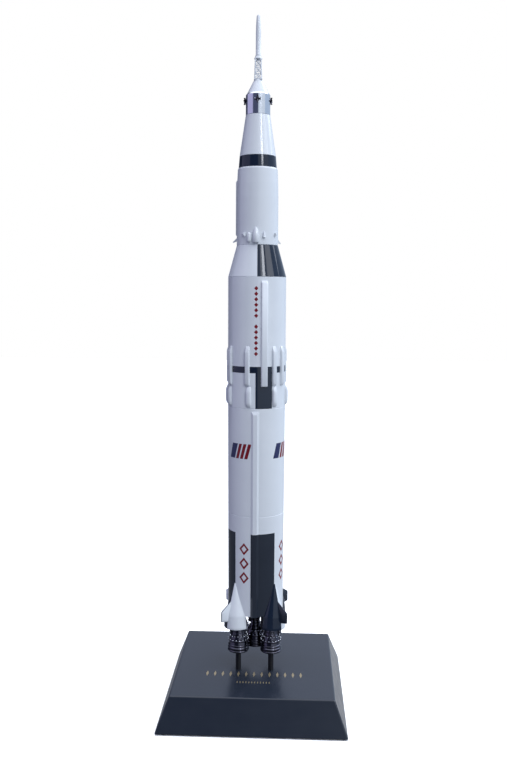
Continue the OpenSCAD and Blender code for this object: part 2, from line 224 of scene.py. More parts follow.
def newMaterial(name, **values):
    # a Principled material; values are the shader's own sockets, with _ for a space
    material = bpy.data.materials.new(name)
    material.use_nodes = True
    tree = material.node_tree
    shader = tree.nodes["Principled BSDF"]
    for socket, value in values.items():
        shader.inputs[socket.replace("_", " ")].default_value = value
    return material, tree, shader


def grain(tree, size, detail=2.0, stretch=(1, 1, 1)):
    # noise whose features are about this many millimetres across
    coords = addNode(tree, "ShaderNodeTexCoord").outputs["Object"]
    shaped = addNode(tree, "ShaderNodeMapping", {"Vector": coords, "Scale": stretch}).outputs[0]
    sockets = {"Vector": shaped, "Scale": 1 / (size * mm), "Detail": detail}
    return addNode(tree, "ShaderNodeTexNoise", sockets).outputs["Fac"]


def spread(tree, source, low, high):
    # turns a noise into values between low and high
    return addNode(tree, "ShaderNodeMapRange", {"Value": source, "From Min": 0.3, "From Max": 0.7,
                                                "To Min": low, "To Max": high}).outputs[0]


def blendColours(tree, factor, first, second):
    node = addNode(tree, "ShaderNodeMix", {"Factor": factor}, data_type="RGBA")
    for socket, value in ((node.inputs[6], first), (node.inputs[7], second)):
        if isinstance(value, bpy.types.NodeSocket):
            tree.links.new(value, socket)
        else:
            socket.default_value = linear(value)
    return node.outputs[2]


def relief(tree, height, depth, under=None):
    # bump whose height is this many millimetres, over another one where that is given
    sockets = {"Height": height, "Distance": depth * mm, "Strength": 1.0}
    if under is not None:
        sockets["Normal"] = under
    return addNode(tree, "ShaderNodeBump", sockets).outputs[0]


lacquer = {
    "white": ("#e7ebf0", "#dde2e8"), "black": ("#131e2e", "#19263a"),
    "lighterBlack": ("#272d37", "#2e343f"),     # a lighter, greyer black for the booster's panels and fins, under the same gloss as the other black
    "cloudSize": 22, "peelSize": 1.3, "peelDepth": 0.008, "waveSize": 16, "waveDepth": 0.028,
    "whiteRough": (0.07, 0.13), "blackRough": (0.04, 0.1), "dryRough": (0.5, 0.6),
    "maskEdge": 0.2, "maskTurn": 0.5, "maskStep": 0.03,     # a masked edge's width and its step
}


def lacquerRelief(tree):
    peel = relief(tree, grain(tree, lacquer["peelSize"], 1), lacquer["peelDepth"])
    return relief(tree, grain(tree, lacquer["waveSize"], 1), lacquer["waveDepth"], peel)


def whiteLacquerOnAbs(name="whiteLacquerOnAbs", rough=lacquer["whiteRough"]):
    # sprayed gloss lacquer: cool white with faint cloudiness and orange peel in its reflections
    material, tree, shader = newMaterial(name, IOR=1.5)
    clouds = grain(tree, lacquer["cloudSize"], 3)
    tree.links.new(blendColours(tree, clouds, *lacquer["white"]), shader.inputs["Base Color"])
    tree.links.new(spread(tree, grain(tree, 9, 2), *rough), shader.inputs["Roughness"])
    tree.links.new(lacquerRelief(tree), shader.inputs["Normal"])
    return material


def blackLacquerOnAbs():
    # sprayed gloss black: near black, so what the eye sees is the room mirrored in it
    material, tree, shader = newMaterial("blackLacquerOnAbs", IOR=1.52)
    clouds = grain(tree, lacquer["cloudSize"], 3)
    tree.links.new(blendColours(tree, clouds, *lacquer["black"]), shader.inputs["Base Color"])
    tree.links.new(spread(tree, grain(tree, 7, 2), *lacquer["blackRough"]), shader.inputs["Roughness"])
    tree.links.new(lacquerRelief(tree), shader.inputs["Normal"])
    return material


def masked(tree, source, low, high, edge):
    # one between low and high, with an edge this wide
    rise = addNode(tree, "ShaderNodeMapRange", {
        "Value": source, "From Min": low - edge / 2, "From Max": low + edge / 2})
    fall = addNode(tree, "ShaderNodeMapRange", {
        "Value": source, "From Min": high - edge / 2, "From Max": high + edge / 2,
        "To Min": 1.0, "To Max": 0.0})
    sides = {0: rise.outputs[0], 1: fall.outputs[0]}
    return addNode(tree, "ShaderNodeMath", sides, operation="MULTIPLY").outputs[0]


def maskedPaint(name, areas, shades=lacquer["black"]):
    # white lacquer with masked black areas, each from one angle to another and one height to another
    material, tree, shader = newMaterial(name, IOR=1.5)
    coords = addNode(tree, "ShaderNodeTexCoord").outputs["Object"]
    axes = addNode(tree, "ShaderNodeSeparateXYZ", {0: coords}).outputs
    front = addNode(tree, "ShaderNodeMath", {0: axes["Y"], 1: -1.0}, operation="MULTIPLY").outputs[0]
    turn = addNode(tree, "ShaderNodeMath", {0: axes["X"], 1: front}, operation="ARCTAN2").outputs[0]
    angle = addNode(tree, "ShaderNodeMath", {0: turn}, operation="DEGREES").outputs[0]
    total = None
    for fromAngle, toAngle, fromZ, toZ in areas:
        area = masked(tree, axes["Z"], fromZ * mm, toZ * mm, lacquer["maskEdge"] * mm)
        if fromAngle > -180 or toAngle < 180:
            around = masked(tree, angle, fromAngle, toAngle, lacquer["maskTurn"])
            area = addNode(tree, "ShaderNodeMath", {0: area, 1: around}, operation="MULTIPLY").outputs[0]
        if total is not None:
            area = addNode(tree, "ShaderNodeMath", {0: total, 1: area}, operation="MAXIMUM").outputs[0]
        total = area
    clouds = grain(tree, lacquer["cloudSize"], 3)
    white = blendColours(tree, clouds, *lacquer["white"])
    black = blendColours(tree, clouds, *shades)
    tree.links.new(blendColours(tree, total, white, black), shader.inputs["Base Color"])
    whiteRough = spread(tree, grain(tree, 9, 2), *lacquer["whiteRough"])
    blackRough = spread(tree, grain(tree, 7, 2), *lacquer["blackRough"])
    rough = addNode(tree, "ShaderNodeMix", {"Factor": total, "A": whiteRough, "B": blackRough}).outputs[0]
    tree.links.new(rough, shader.inputs["Roughness"])
    tree.links.new(relief(tree, total, lacquer["maskStep"], lacquerRelief(tree)), shader.inputs["Normal"])
    return material


def satinLacquerOnWood():
    # rubbed black lacquer over a sawn and sanded wooden block: soft reflections and a trace of grain
    material, tree, shader = newMaterial("satinLacquerOnWood", IOR=1.5)
    shade = grain(tree, 30, 3, (0.35, 1.6, 1.6))
    tree.links.new(blendColours(tree, shade, "#1f2631", "#272d38"), shader.inputs["Base Color"])
    tree.links.new(spread(tree, grain(tree, 12, 3), 0.2, 0.27), shader.inputs["Roughness"])
    pores = relief(tree, grain(tree, 1.4, 2, (0.12, 1, 1)), 0.012)
    tree.links.new(relief(tree, grain(tree, 0.7, 1), 0.004, pores), shader.inputs["Normal"])
    return material


def blackFelt():
    # pressed wool felt: no shine, short tangled fibres drawn about 0.6 mm wide so that they show
    material, tree, shader = newMaterial("blackFelt", Roughness=0.95)
    shader.inputs["Sheen Weight"].default_value = 0.3
    fibres = grain(tree, 0.6, 4)
    tree.links.new(blendColours(tree, fibres, "#0c0d10", "#22242a"), shader.inputs["Base Color"])
    tree.links.new(relief(tree, fibres, 0.25), shader.inputs["Normal"])
    return material


def blackEnamelOnSteel():
    # dipped enamel on a drawn steel rod: fine lines along the rod under a satin skin
    material, tree, shader = newMaterial("blackEnamelOnSteel", IOR=1.5)
    lines = grain(tree, 0.5, 2, (1, 1, 0.04))
    tree.links.new(blendColours(tree, lines, "#0b0c10", "#1b1d24"), shader.inputs["Base Color"])
    tree.links.new(spread(tree, lines, 0.22, 0.36), shader.inputs["Roughness"])
    tree.links.new(relief(tree, lines, 0.01), shader.inputs["Normal"])
    return material


def darkChromePlating():
    # smoked chrome on moulded ABS: a dark mirror with slightly uneven plating
    material, tree, shader = newMaterial("darkChromePlating", Metallic=1.0)
    tree.links.new(blendColours(tree, grain(tree, 3.5, 3), "#403f47", "#5f5f6a"), shader.inputs["Base Color"])
    tree.links.new(spread(tree, grain(tree, 1.8, 3), 0.04, 0.12), shader.inputs["Roughness"])
    tree.links.new(relief(tree, grain(tree, 1.1, 2), 0.012), shader.inputs["Normal"])
    return material


def silverPlating():
    # vacuum-metallised film over a turned part: a bright mirror with faint lines round the part
    material, tree, shader = newMaterial("silverPlating", Metallic=1.0)
    lines = grain(tree, 0.6, 2, (0.15, 0.15, 1))
    tree.links.new(blendColours(tree, grain(tree, 6, 2), "#eceef5", "#dfe3ec"), shader.inputs["Base Color"])
    tree.links.new(spread(tree, lines, 0.07, 0.14), shader.inputs["Roughness"])
    tree.links.new(relief(tree, lines, 0.002), shader.inputs["Normal"])
    return material


def bareAbs():
    # moulded ABS inside the joints: spark-eroded grain, no lacquer
    material, tree, shader = newMaterial("bareAbs", IOR=1.53)
    texture = grain(tree, 0.5, 2)
    tree.links.new(blendColours(tree, texture, "#d4d5d3", "#e0e1df"), shader.inputs["Base Color"])
    tree.links.new(spread(tree, texture, 0.4, 0.55), shader.inputs["Roughness"])
    tree.links.new(relief(tree, texture, 0.02), shader.inputs["Normal"])
    return material


def screenInk(name, first, second, rough=(0.3, 0.42)):
    # pad-printed ink: an even film, a touch duller than the lacquer under it
    material, tree, shader = newMaterial(name, IOR=1.5)
    film = grain(tree, 0.9, 3)
    tree.links.new(blendColours(tree, film, first, second), shader.inputs["Base Color"])
    tree.links.new(spread(tree, film, *rough), shader.inputs["Roughness"])
    tree.links.new(relief(tree, film, 0.004), shader.inputs["Normal"])
    return material


def goldFoil():
    # hot-stamped foil: a thin warm metal that breaks up a little over the lacquer
    material, tree, shader = newMaterial("goldFoil", Metallic=0.6)
    film = grain(tree, 0.8, 3)
    tree.links.new(blendColours(tree, film, "#9c8c6c", "#bfae8a"), shader.inputs["Base Color"])
    tree.links.new(spread(tree, film, 0.28, 0.45), shader.inputs["Roughness"])
    tree.links.new(relief(tree, film, 0.01), shader.inputs["Normal"])
    return material


livery = {
    "panels": [(-5.5, 43.8), (90, 135), (-180, -135), (-90, -43.6)], "panelTop": 154.9,
    "corners": [(0, 45), (90, 135), (-180, -135), (-90, -45)],
    "finOverlap": 0.6,     # the fins' black goes past the plate's middle, so that their outer edges are black
    "stripe": (294.9, 300.4), "block": (0, 34), "coneQuarters": [(2.5, 95), (-177.5, -92)],
}


def lowBlack(areas, overlap=0):
    # black areas from the engines' exits up to the panels' top
    return [(start, end + overlap, exitZ, livery["panelTop"]) for start, end in areas]


def secondStageBlack():
    # the stripe right round, and a block under it at the front and at the rear
    stripe, block = livery["stripe"], livery["block"]
    blocks = [(turn + block[0], turn + block[1], boosterTop - 1, stripe[0] + 0.2) for turn in (0, -180)]
    return [(-180, 180, *stripe)] + blocks


whitePaint = whiteLacquerOnAbs()
dryPaint = whiteLacquerOnAbs("dryWhiteLacquerOnAbs", lacquer["dryRough"])     # mirrors no window
blackPaint = blackLacquerOnAbs()
boosterPaint = maskedPaint("boosterPaint", lowBlack(livery["panels"]), lacquer["lighterBlack"])
cornerPaint = maskedPaint("cornerPaint", lowBlack(livery["corners"]))
finPaint = maskedPaint("finPaint", lowBlack(livery["corners"], livery["finOverlap"]), lacquer["lighterBlack"])
ridgePaint = maskedPaint("ridgePaint", lowBlack([(-180, 180)]), lacquer["lighterBlack"])
secondPaint = maskedPaint("secondPaint", secondStageBlack())
conePaint = maskedPaint("conePaint", [(*quarter, secondTop, coneTop) for quarter in livery["coneQuarters"]])
plinthLacquer = satinLacquerOnWood()
felt = blackFelt()
rodEnamel = blackEnamelOnSteel()
darkChrome = darkChromePlating()
silver = silverPlating()
moulded = bareAbs()
redInk = screenInk("redInk", "#6f0512", "#8c0d1d")
blueInk = screenInk("blueInk", "#20264e", "#2d3463")
gold = goldFoil()
print("materials made")

nodeFinishes = {
    boosterPaint: ["tail_tube"],
    whitePaint: ["forward_tube", "stage_three_tube", "aft_flaps", "aft_nozzles", "lander_adapter",
                 "capsule_cover", "tower_base"],
    ridgePaint: ["booster_tunnel"],
    secondPaint: ["stage_two_tube"],
    conePaint: ["interstage_cone"],
    blackPaint: ["instrument_ring", "tail_plate"],
    felt: ["base_felt"],
    rodEnamel: ["stand_rod_left", "stand_rod_right"],
    silver: ["service_module"],
    moulded: ["tube_coupler", "booster_collar"],
}
for material, names in nodeFinishes.items():
    for name in names:
        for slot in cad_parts[name].material_slots:
            slot.material = material
print("frame nodes finished")


plinth = {
    "edge": 1.1, "edgeSteps": 4, "topBand": 1.5,
    "grow": 0.3,     # makes up for what the rounding takes off the foot
}


def buildPlinth():
    low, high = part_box("base_block")
    foot = high.x / mm + plinth["grow"]
    points = [vertex.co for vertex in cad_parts["base_block"].data.vertices]
    head = max(abs(point.x) for point in points if point.z > high.z - plinth["topBand"] * mm) / mm
    sections = [
        [(sx * half, sy * half, z) for sx, sy in squareCorners]
        for half, z in ((foot, low.z / mm), (head, high.z / mm))
    ]
    block = addPiece("plinth", lofted(sections), "stand", "plinth_paint", plinthLacquer, ["base_block"])
    soften(block, plinth["edge"], plinth["edgeSteps"])


goldTrim = {
    "thickness": 0.03, "sunk": 0.2,
    "rows": [     # reach to either side, number of marks, y, width and length of a mark
        (41, 13, -24.8, 2.3, 10.5),
        (13.8, 12, -40.4, 1.1, 4.6),
    ],
}


def flatLozenge(x, y, wide, long, z):
    # slim diamond lying on the plinth
    outline = [(x - wide / 2, y), (x, y - long / 2), (x + wide / 2, y), (x, y + long / 2)]
    levels = (z - goldTrim["sunk"], z + goldTrim["thickness"])
    return lofted([[(a, b, level) for a, b in outline] for level in levels])


def buildGoldTrim():
    z = topOf("base_block")
    lozenges = []
    for reach, count, y, wide, long in goldTrim["rows"]:
        for k in range(count):
            lozenges.append(flatLozenge(reach * (2 * k / (count - 1) - 1), y, wide, long, z))
    addPiece("gold_trim", joined(lozenges), "stand", "plinth_paint", gold)


buildPlinth()
buildGoldTrim()
print("stand built")


# Heights in an engine start at its bell's lip
engine = {
    "circle": 20.4, "wall": 0.7, "sides": 56, "rowStep": 0.2, "rowsTop": 30.6,
    "bell": [(0, 8.9), (3, 8.75), (6, 8.45), (9, 8.0), (12, 7.2), (15.5, 5.6), (19, 4.4), (22, 3.9), (25, 4.6),
             (31, 5)],
    "hoops": [1.0, 3.5, 6.0], "hoopRise": 0.62, "hoopWide": 0.72,
    "neckHoops": [14.6, 17.4, 20.2], "neckRise": 0.35, "neckWide": 0.45,
    "neckR": 5, "boreR": 2.8, "boreFoot": 21, "insideRows": [18, 15.5, 12, 9, 6, 3, 0],
    "flangeZ": 32, "flangeR": 6.4, "flangeHalf": 1, "flangeEdge": 0.2, "draft": 0.01,
    "bolts": 12, "boltCircle": 5.75, "boltR": 0.36, "boltTall": 0.6, "boltDrop": 1.5,
}
manifold = {
    "z": 10, "radius": 7.6, "pipe": 1.3, "steps": 64, "sides": 16,
    "downAt": 6.9, "downR": (1.25, 1.0), "downRows": 14,
    "collars": [15.5, 21, 26.5], "collarR": (1.0, 1.5), "collarHalf": 0.35,
    "brackets": 8, "bracketFoot": (7.0, 12.4), "bracketHead": (4.6, 18.6), "bracketR": 0.32,
}
studs = {
    "count": 18, "rings": [(0.9, 8.0, 0), (4.2, 6.9, 0.5)],     # height over the ring, reach, turn in steps
    "steps": [0, 0.7, 0.75, 0.95, 1.15, 1.3], "radii": [0.2, 0.2, 0.46, 0.5, 0.42, 0.2], "tilt": 0.25,
}
pump = {
    "at": 5.6, "elbow": [(1, 26.4), (0.98, 28.0), (0.85, 29.2), (0.6, 29.8)], "elbowR": 0.8,
    "drum": [(0, 19.2), (1.2, 19.3), (1.7, 19.9), (1.7, 22.4), (1.95, 22.6), (1.95, 23.2), (1.7, 23.4),
             (1.7, 26.0), (1.2, 26.8), (0, 26.9)],
}
cornerAngles = {"front_left": -45, "front_right": 45, "rear_left": -135, "rear_right": 135}


def along(table, at):
    # value at a place in a table of (place, value) pairs
    for (a, low), (b, high) in zip(table, table[1:]):
        if at <= b:
            return low + (high - low) * (at - a) / (b - a)
    return table[-1][1]


def bellOutside(z):
    # the bell's skin with its round hoops, and the flatter ones on its neck
    rise = 0
    for hoop in engine["hoops"]:
        rise += engine["hoopRise"] * math.sqrt(max(0, 1 - ((z - hoop) / engine["hoopWide"]) ** 2))
    for hoop in engine["neckHoops"]:
        rise += engine["neckRise"] * math.exp(-((z - hoop) / engine["neckWide"]) ** 4)
    return along(engine["bell"], z) + rise


def bellShape():
    # outside from the lip up, over the flange to the top, then down the bore and the inside
    rows = [k * engine["rowStep"] for k in range(int(engine["rowsTop"] / engine["rowStep"]) + 1)]
    profile = [(bellOutside(z), z) for z in rows]
    neck, bore, rim = engine["neckR"], engine["boreR"], engine["flangeR"]
    low, high = engine["flangeZ"] - engine["flangeHalf"], engine["flangeZ"] + engine["flangeHalf"]
    edge, draft = engine["flangeEdge"], engine["draft"]
    profile += [(neck, low - draft), (rim - edge, low), (rim, low + edge)]
    profile += [(rim, high - edge), (rim - edge, high), (neck, high + draft)]
    profile += [(neck, engineTop - exitZ), (bore, engineTop - exitZ), (bore, engine["boreFoot"])]
    profile += [(along(engine["bell"], z) - engine["wall"], z) for z in engine["insideRows"]]
    return turned(profile, engine["sides"], ring=True)


def boltHeads():
    # hexagonal heads under the engine's flange
    radius, tall, reach = engine["boltR"], engine["boltTall"], engine["boltCircle"]
    head = turned([(0, 0), (radius, 0), (radius, tall), (0, tall)], 6)
    heads = []
    for k in range(engine["bolts"]):
        turn = 2 * math.pi * k / engine["bolts"]
        spot = (reach * math.cos(turn), reach * math.sin(turn), engine["flangeZ"] - engine["boltDrop"])
        heads.append(moved(head, Matrix.Translation(spot)))
    return joined(heads)


def manifoldShape(side):
    # exhaust ring that swells towards its down pipe, with brackets to the bell
    shapes, sections = [], []
    inlet = math.radians(side * 60 - 90)
    for k in range(manifold["steps"]):
        turn = 2 * math.pi * k / manifold["steps"]
        gap = abs((turn - inlet + math.pi) % (2 * math.pi) - math.pi)
        pipe = manifold["pipe"] * (1.02 - 0.22 * gap / math.pi)
        section = []
        for n in range(manifold["sides"]):
            roll = 2 * math.pi * n / manifold["sides"]
            reach, z = manifold["radius"] + pipe * math.cos(roll), manifold["z"] + pipe * math.sin(roll)
            section.append((reach * math.cos(turn), reach * math.sin(turn), z))
        sections.append(section)
    points, faces = lofted(sections + [sections[0]])
    shapes.append((points, faces[:-2]))
    x, y = manifold["downAt"] * math.cos(inlet), manifold["downAt"] * math.sin(inlet)
    rise = engine["flangeZ"] - engine["flangeHalf"] - manifold["z"]
    rows, (wide, slim) = manifold["downRows"], manifold["downR"]
    path = [(x, y, manifold["z"] + rise * k / rows) for k in range(rows + 1)]
    shapes.append(barAlong(path, [wide + (slim - wide) * k / rows for k in range(rows + 1)], manifold["sides"]))
    (inner, outer), half = manifold["collarR"], manifold["collarHalf"]
    collar = turned([(inner, -half), (outer, -half), (outer, half), (inner, half)], 20, ring=True)
    for z in manifold["collars"]:
        shapes.append(moved(collar, Matrix.Translation((x, y, z))))
    for k in range(manifold["brackets"]):
        turn = inlet + 2 * math.pi * (k + 0.5) / manifold["brackets"]
        ends = []
        for reach, z in (manifold["bracketFoot"], manifold["bracketHead"]):
            ends.append((reach * math.cos(turn), reach * math.sin(turn), z))
        shapes.append(barAlong(ends, manifold["bracketR"], 8))
    return joined(shapes)


def studShape():
    # two rings of bolted studs, on the exhaust ring and above it
    shapes = []
    for k in range(studs["count"]):
        for rise, reach, shift in studs["rings"]:
            turn = 2 * math.pi * (k + shift) / studs["count"]
            path = []
            for step in studs["steps"]:
                out, z = reach + step, manifold["z"] + rise + studs["tilt"] * step
                path.append((out * math.cos(turn), out * math.sin(turn), z))
            shapes.append(barAlong(path, studs["radii"], 10))
    return joined(shapes)


def pumpShape(side):
    # turbopump drum beside the neck, with its elbow into the chamber
    turn = math.radians(side * 60 + 90)
    x, y = pump["at"] * math.cos(turn), pump["at"] * math.sin(turn)
    drum = moved(turned(pump["drum"], 28), Matrix.Translation((x, y, 0)))
    elbow = barAlong([(x * share, y * share, z) for share, z in pump["elbow"]], pump["elbowR"], 14)
    return joined([drum, elbow])


def buildEngine(name, angle, out, side):
    place = onRocket(angle, out, 0, exitZ)
    turn = Matrix.Rotation(math.radians(angle), 4, "Z")
    chrome = ("first_stage", "engine_chrome", darkChrome)
    addPiece(name + "_bell", bellShape(), *chrome, [name + "_engine"], 40, place)
    addPiece(name + "_flange_bolts", boltHeads(), *chrome, (), 30, place)
    addPiece(name + "_exhaust_ring", moved(manifoldShape(side), turn), *chrome, [name + "_manifold"], 40, place)
    addPiece(name + "_studs", studShape(), "first_stage", "silver_plate", silver, (), 40, place)
    addPiece(name + "_pump", moved(pumpShape(side), turn), *chrome, (), 40, place)


fairing = {
    "foot": 11.2, "tip": 28.2, "footR": 11.5, "shellR": 10.4, "tipR": 0.9, "leastR": 0.15, "at": 22.2,
    "wall": 1.2, "openR": 21.2, "lip": 0.6, "tipSunk": 0.4, "sideSunk": 0.5,
    "columns": 44, "lowRows": 6, "highRows": 26,
    "footEdge": [(0, 0.3), (0.1, 0.12), (0.3, 0)],
}


def fairingRow(angle, z, inset):
    # one row of points across the fairing's skin, from one side round its nose to the other
    start, tip = tailZ + fairing["lip"], tailZ + fairing["tip"]
    share = min(max((z - start) / (tip - start), 0), 1)
    full = fairing["shellR"] + (fairing["tipR"] - fairing["shellR"]) * share
    if z < start:
        full += (fairing["footR"] - fairing["shellR"]) * (start - z) / (start - tailZ + fairing["foot"])
    radius = max(full - inset, fairing["leastR"])
    centre = fairing["at"] + (boosterSkin(tip) - fairing["tipSunk"] - fairing["at"]) * share
    if z < tailZ:
        halfTurn = math.acos((fairing["openR"] - centre) / radius)
    else:
        hold = boosterSkin(z) - fairing["sideSunk"]
        cosine = (hold ** 2 - centre ** 2 - radius ** 2) / (2 * centre * radius)
        halfTurn = math.acos(min(max(cosine, -1), 1))
    row = []
    for k in range(fairing["columns"] + 1):
        swing = halfTurn * (2 * k / fairing["columns"] - 1)
        row.append(onRocket(angle, centre + radius * math.cos(swing), radius * math.sin(swing), z))
    return row


def buildFairing(name, angle):
    # half shell round the engine below the tail, closing in on the booster's skin above it
    foot, low, high = tailZ - fairing["foot"], fairing["lowRows"], fairing["highRows"]
    heights = [(foot + rise, inset) for rise, inset in fairing["footEdge"]]
    start, end = heights[-1][0], tailZ - 0.02
    heights += [(start + (end - start) * k / low, 0) for k in range(1, low + 1)]
    heights += [(tailZ + fairing["tip"] * k / high, 0) for k in range(high + 1)]
    sections = []
    for z, inset in heights:
        outer = fairingRow(angle, z, inset)
        inner = fairingRow(angle, z, fairing["wall"])
        sections.append(outer + inner[::-1])
    points, faces = lofted(sections)
    faces = faces[:-2]
    count = len(sections[0])
    for start in (0, len(points) - count):     # ring-shaped ends, so that the shell stays hollow
        for k in range(fairing["columns"]):
            faces.append((start + k, start + k + 1, start + count - 2 - k, start + count - 1 - k))
    addPiece(name + "_fairing_shell", (points, faces), "first_stage", "white_lacquer", cornerPaint,
             [name + "_fairing"], 50)


fin = {
    "thick": 1.7, "edge": 0.45, "slope": 1.5, "cornerR": 1.1,
    "rootAt": 27.6, "rootTop": 14.0, "tipTop": 5.6, "tipFoot": -3.6,     # heights from the tail
    "heelAt": 31.2, "heelFoot": -5.4, "heelTop": 1,
}


def roundedOutline(points, steps=5):
    # polygon with its corners rounded; each point gives its place and how far its rounding reaches
    outline, count = [], len(points)
    for k in range(count):
        here, reach = Vector(points[k][:2]), points[k][2]
        before = (Vector(points[k - 1][:2]) - here).normalized()
        after = (Vector(points[(k + 1) % count][:2]) - here).normalized()
        if reach == 0:
            outline.append(tuple(here))
            continue
        for n in range(steps + 1):
            t = n / steps
            a, b = here + before * reach, here + after * reach
            outline.append(tuple(a * (1 - t) ** 2 + here * 2 * t * (1 - t) + b * t ** 2))
    return outline


def finOutline(reach, slope):
    # outline of the plate, drawn in from its free edges by the slope
    root, heel, radius = fin["rootAt"], fin["heelAt"], fin["cornerR"]
    points = [
        (root, fin["rootTop"] - 1.7 * slope, 0), (reach - slope, fin["tipTop"] - 0.7 * slope, radius),
        (reach - slope, fin["tipFoot"] + slope, radius), (heel, fin["heelFoot"] + 1.1 * slope, 0),
        (heel, fin["heelTop"], 0),
    ]
    return roundedOutline([(out, tailZ + z, radius) for out, z, radius in points])


def buildFin(name, angle):
    # plate with sloping margins, its root sunk in the fairing
    reach = reachAt(name + "_fin", tailZ, 6)
    rim, face = finOutline(reach, 0), finOutline(reach, fin["slope"])
    edge, thick = fin["edge"] / 2, fin["thick"] / 2
    sections = []
    for outline, across in ((face, -thick), (rim, -edge), (rim, edge), (face, thick)):
        sections.append([onRocket(angle, out, across, z) for out, z in outline])
    plate = lofted(sections)
    addPiece(name + "_fin_plate", plate, "first_stage", "white_lacquer", finPaint, [name + "_fin"], 20)


buildEngine("centre", 0, 0, 1)
for name, angle in cornerAngles.items():
    pipeSide = -1 if name in ("front_left", "rear_right") else 1
    buildEngine(name, angle, engine["circle"], pipeSide)
    buildFairing(name, angle)
    buildFin(name, angle)
print("engines, fairings and fins built")


def podShape(angle, skin, rows, fullness, sunk=0.6, columns=18):
    # raised pod on the skin; rows give height, half width and rise, fullness squares the section off
    sections = []
    for z, half, rise in rows:
        section = []
        for k in range(columns + 1):
            swing = math.pi * (k / columns - 0.5)
            across = half * math.copysign(abs(math.sin(swing)) ** (2 / fullness), swing)
            out = skin + rise * abs(math.cos(swing)) ** (2 / fullness)
            section.append(onRocket(angle, out, across, z))
        section.append(onRocket(angle, skin - sunk, half, z))
        section.append(onRocket(angle, skin - sunk, -half, z))
        sections.append(section)
    return lofted(sections)


feedlines = {
    "angles": [-105, -58.6, -15.8, 37.9, 59.1, 110, 158, 206],
    "rows": [(19.3, 1.7, 0.3), (19.6, 1.85, 0.9), (20.9, 2.0, 2.1), (21.4, 2.0, 2.3), (47.6, 2.0, 2.3),
             (48.8, 2.0, 2.15), (52.6, 1.7, 0.7), (53.3, 1.5, 0.2)],
    "fullness": 4.5,
}
ullage = {
    "angles": [-97, -61.4, -13, 39.7, 87, 131, 176, 221],
    "rows": [(1.3, 1.2, 0.3), (1.6, 1.7, 0.9), (2.6, 2.1, 1.7), (4.6, 2.35, 2.3), (5.6, 2.35, 2.4),
             (13.8, 2.35, 2.4), (15.0, 2.3, 2.2), (17.6, 2.0, 1.2), (18.7, 1.6, 0.5), (19.0, 1.3, 0.2)],
    "fullness": 2.7,
}
secondTunnel = {
    "angle": 16.9, "fullness": 5,
    "foot": [(19.2, 2.6, 1.7), (19.5, 2.8, 2.0), (19.9, 2.8, 2.2)],
    "head": [(-5.6, 2.8, 2.2), (-3.5, 2.6, 0.4), (-3.3, 2.4, 0.1)],
}


def buildSecondStagePods():
    for name, group in (("feedline", feedlines), ("ullage", ullage)):
        rows = [(boosterTop + z, half, rise) for z, half, rise in group["rows"]]
        pods = [podShape(angle, bodyR - 0.05, rows, group["fullness"]) for angle in group["angles"]]
        addPiece(name + "_pods", joined(pods), "second_stage", "white_lacquer", whitePaint,
                 [name + "_fairings"], 50)
    rows = [(boosterTop + z, half, rise) for z, half, rise in secondTunnel["foot"]]
    rows += [(secondTop + z, half, rise) for z, half, rise in secondTunnel["head"]]
    tunnel = podShape(secondTunnel["angle"], bodyR - 0.1, rows, secondTunnel["fullness"])
    addPiece("second_stage_tunnel", tunnel, "second_stage", "white_lacquer", dryPaint, ["stage_two_tunnel"], 50)


thirdTunnel = {
    "angle": -87.6, "fullness": 4,
    "rows": [(8.3, 1.1, 0.1), (8.9, 1.5, 0.8), (53.4, 1.5, 0.75), (55, 1.1, 0.1)],
}
pointedPods = {
    "angles": [-1.5, 178.5], "stand": 0.5, "foot": 1.5,
    "outline": [(0, 0), (2.2, 0), (2.55, 0.25), (2.8, 0.7), (2.8, 5.5), (2.7, 6.6), (2.45, 8), (2.05, 9.4),
                (1.6, 10.8), (1.1, 12), (0.65, 12.8), (0.3, 13.2), (0, 13.3)],
}
settling = {"angles": [-20.2, 159.8], "stand": 0.6, "radius": 1.7, "length": 5.0, "foot": 3.5, "steps": 16}


def buildThirdStagePods():
    lacquered = ("third_stage", "white_lacquer", whitePaint)
    pointed = turned(pointedPods["outline"], 40)
    pods = []
    for angle in pointedPods["angles"]:
        place = onRocket(angle, thirdR + pointedPods["stand"], 0, coneTop + pointedPods["foot"])
        pods.append(moved(pointed, Matrix.Translation(place)))
    addPiece("pointed_pods", joined(pods), *lacquered, ["attitude_pods"], 50)
    rows = [(coneTop + z, half, rise) for z, half, rise in thirdTunnel["rows"]]
    tunnel = podShape(thirdTunnel["angle"], thirdR - 0.05, rows, thirdTunnel["fullness"], 0.4)
    addPiece("third_stage_tunnel", tunnel, *lacquered, ["stage_three_tunnel"], 50)
    radius, length, steps = settling["radius"], settling["length"], settling["steps"]
    outline = [(0, -radius)]
    for k in range(1, steps):
        tilt = math.pi * (k / steps - 0.5)
        outline.append((radius * math.cos(tilt), radius * math.sin(tilt) + (length if k > steps / 2 else 0)))
    outline.append((0, length + radius))
    capsules = []
    for angle in settling["angles"]:
        place = onRocket(angle, thirdR + settling["stand"], 0, coneTop + settling["foot"])
        capsules.append(moved(turned(outline, 32), Matrix.Translation(place)))
    addPiece("settling_capsules", joined(capsules), *lacquered, ["settling_pods"], 60)


buildSecondStagePods()
buildThirdStagePods()
print("pods built")


thruster = {
    "below": 5.9, "wide": 2.4, "tall": 3.6, "cornerR": 0.3, "stand": 0.95,
    "layers": [(-0.8, 1), (0.7, 1), (0.9, 0.85)],     # how far out, and the share of the full size there
    "outside": [(0, 0.4), (0.34, 0.4), (0.42, 1.1), (0.58, 1.8), (0.8, 2.5), (0.9, 2.8)],
    "inside": [(0.78, 2.8), (0.66, 2.4), (0.3, 1.2), (0, 1.1)],
}


